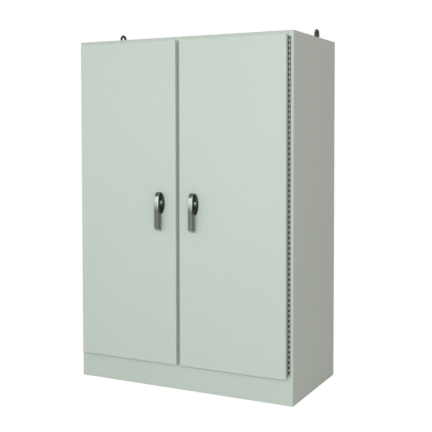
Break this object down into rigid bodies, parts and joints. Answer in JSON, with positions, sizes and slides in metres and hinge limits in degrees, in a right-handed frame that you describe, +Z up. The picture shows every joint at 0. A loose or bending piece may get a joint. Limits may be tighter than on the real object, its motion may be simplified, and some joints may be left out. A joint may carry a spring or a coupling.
{
  "type": "switchboard cabinet",
  "caption": "Free-standing steel switchboard cabinet with paired hinged doors, latch handles, a mounting panel and lifting eyes.",
  "frame": {"origin": "middle of the bounding box in X and Y, at the floor", "axes": "+Z up, +X to the right seen from the front; the doors face -Y"},
  "size_m": [1.242, 0.704, 1.885],
  "materials": {
    "enamel": "smooth pale grey-green powder coat",
    "white_enamel": "white powder coat",
    "chrome": "satin chrome plate",
    "black_base": "black, semi-gloss",
    "zinc_plate": "bright zinc plate",
    "forged_steel": "dark forged steel",
    "nylon": "natural nylon",
    "gasket": "foamed rubber",
    "brass": "plain brass",
    "pocket": "moulded grey plastic"
  },
  "bodies": {
    "cabinet": {"left_side_panel": "enamel", "right_side_panel": "enamel", "rear_panel": "enamel", "roof_panel": "enamel", "floor_pan": "enamel", "front_kick_panel": "enamel", "front_header": "enamel", "left_front_stile": "enamel", "right_front_stile": "enamel", "centre_post": "enamel", "left_strike_plate": "zinc_plate", "right_strike_plate": "zinc_plate", "left_anchor_angle": "enamel", "right_anchor_angle": "enamel", "mounting_panel": "white_enamel", "panel_stud_lower_left": "zinc_plate", "panel_stud_lower_right": "zinc_plate", "panel_stud_upper_left": "zinc_plate", "panel_stud_upper_right": "zinc_plate", "ground_stud": "brass", "lifting_plate_front_left": "enamel", "lifting_plate_rear_right": "enamel", "eyebolt_front_left": "forged_steel", "eyebolt_rear_right": "forged_steel", "left_hinge_body_leaf": "enamel", "right_hinge_body_leaf": "enamel", "left_hinge_pin": "zinc_plate", "right_hinge_pin": "zinc_plate"},
    "left_door": {"left_door": "enamel", "left_door_gasket": "gasket", "left_door_stiffener": "enamel", "left_hinge_door_leaf": "enamel", "left_handle_base": "black_base", "left_latch_housing": "zinc_plate", "left_upper_rod_guide": "zinc_plate", "left_lower_rod_guide": "zinc_plate"},
    "left_handle": {"left_lever": "chrome", "left_latch_cam": "zinc_plate"},
    "left_lock": {"left_lock_plug": "chrome"},
    "left_upper_rod": {"left_upper_rod": "zinc_plate"},
    "left_upper_roller": {"left_upper_roller": "nylon"},
    "left_lower_rod": {"left_lower_rod": "zinc_plate"},
    "left_lower_roller": {"left_lower_roller": "nylon"},
    "right_door": {"right_door": "enamel", "right_door_gasket": "gasket", "right_door_stiffener": "enamel", "right_hinge_door_leaf": "enamel", "right_handle_base": "black_base", "right_latch_housing": "zinc_plate", "right_upper_rod_guide": "zinc_plate", "right_lower_rod_guide": "zinc_plate", "drawing_pocket": "pocket"},
    "right_handle": {"right_lever": "chrome", "right_latch_cam": "zinc_plate"},
    "right_lock": {"right_lock_plug": "chrome"},
    "right_upper_rod": {"right_upper_rod": "zinc_plate"},
    "right_upper_roller": {"right_upper_roller": "nylon"},
    "right_lower_rod": {"right_lower_rod": "zinc_plate"},
    "right_lower_roller": {"right_lower_roller": "nylon"}
  },
  "joints": [
    {"name": "left_door_hinge", "type": "hinge", "parent": "cabinet", "child": "left_door", "pos_m": [-0.6023, -0.2718, 0.9745], "axis": [0, 0, -1], "range_deg": [0, 120]},
    {"name": "left_handle_turn", "type": "hinge", "parent": "left_door", "child": "left_handle", "pos_m": [-0.0985, -0.302, 0.978], "axis": [0, 1, 0], "range_deg": [0, 90]},
    {"name": "left_lock_turn", "type": "hinge", "parent": "left_handle", "child": "left_lock", "pos_m": [-0.0985, -0.302, 0.978], "axis": [0, 1, 0], "range_deg": [0, 90]},
    {"name": "left_upper_rod_slide", "type": "slide", "parent": "left_door", "child": "left_upper_rod", "axis": [0, 0, -1], "range_m": [0, 0.0345]},
    {"name": "left_upper_roller_spin", "type": "hinge", "parent": "left_upper_rod", "child": "left_upper_roller", "pos_m": [-0.07801, -0.251, 1.772], "axis": [1, 0, 0], "continuous": true},
    {"name": "left_lower_rod_slide", "type": "slide", "parent": "left_door", "child": "left_lower_rod", "axis": [0, 0, 1], "range_m": [0, 0.0345]},
    {"name": "left_lower_roller_spin", "type": "hinge", "parent": "left_lower_rod", "child": "left_lower_roller", "pos_m": [-0.11899, -0.251, 0.176], "axis": [1, 0, 0], "continuous": true},
    {"name": "right_door_hinge", "type": "hinge", "parent": "cabinet", "child": "right_door", "pos_m": [0.6023, -0.2718, 0.9745], "axis": [0, 0, 1], "range_deg": [0, 120]},
    {"name": "right_handle_turn", "type": "hinge", "parent": "right_door", "child": "right_handle", "pos_m": [0.0985, -0.302, 0.978], "axis": [0, -1, 0], "range_deg": [0, 90]},
    {"name": "right_lock_turn", "type": "hinge", "parent": "right_handle", "child": "right_lock", "pos_m": [0.0985, -0.302, 0.978], "axis": [0, -1, 0], "range_deg": [0, 90]},
    {"name": "right_upper_rod_slide", "type": "slide", "parent": "right_door", "child": "right_upper_rod", "axis": [0, 0, -1], "range_m": [0, 0.0345]},
    {"name": "right_upper_roller_spin", "type": "hinge", "parent": "right_upper_rod", "child": "right_upper_roller", "pos_m": [0.07801, -0.251, 1.772], "axis": [1, 0, 0], "continuous": true},
    {"name": "right_lower_rod_slide", "type": "slide", "parent": "right_door", "child": "right_lower_rod", "axis": [0, 0, 1], "range_m": [0, 0.0345]},
    {"name": "right_lower_roller_spin", "type": "hinge", "parent": "right_lower_rod", "child": "right_lower_roller", "pos_m": [0.11899, -0.251, 0.176], "axis": [1, 0, 0], "continuous": true}
  ],
  "couplings": [
    {"joint": "left_upper_rod_slide", "follows": "left_handle_turn", "m_per_rad": 0.0216},
    {"joint": "left_lower_rod_slide", "follows": "left_handle_turn", "m_per_rad": 0.0216},
    {"joint": "right_upper_rod_slide", "follows": "right_handle_turn", "m_per_rad": 0.0216},
    {"joint": "right_lower_rod_slide", "follows": "right_handle_turn", "m_per_rad": 0.0216}
  ]
}
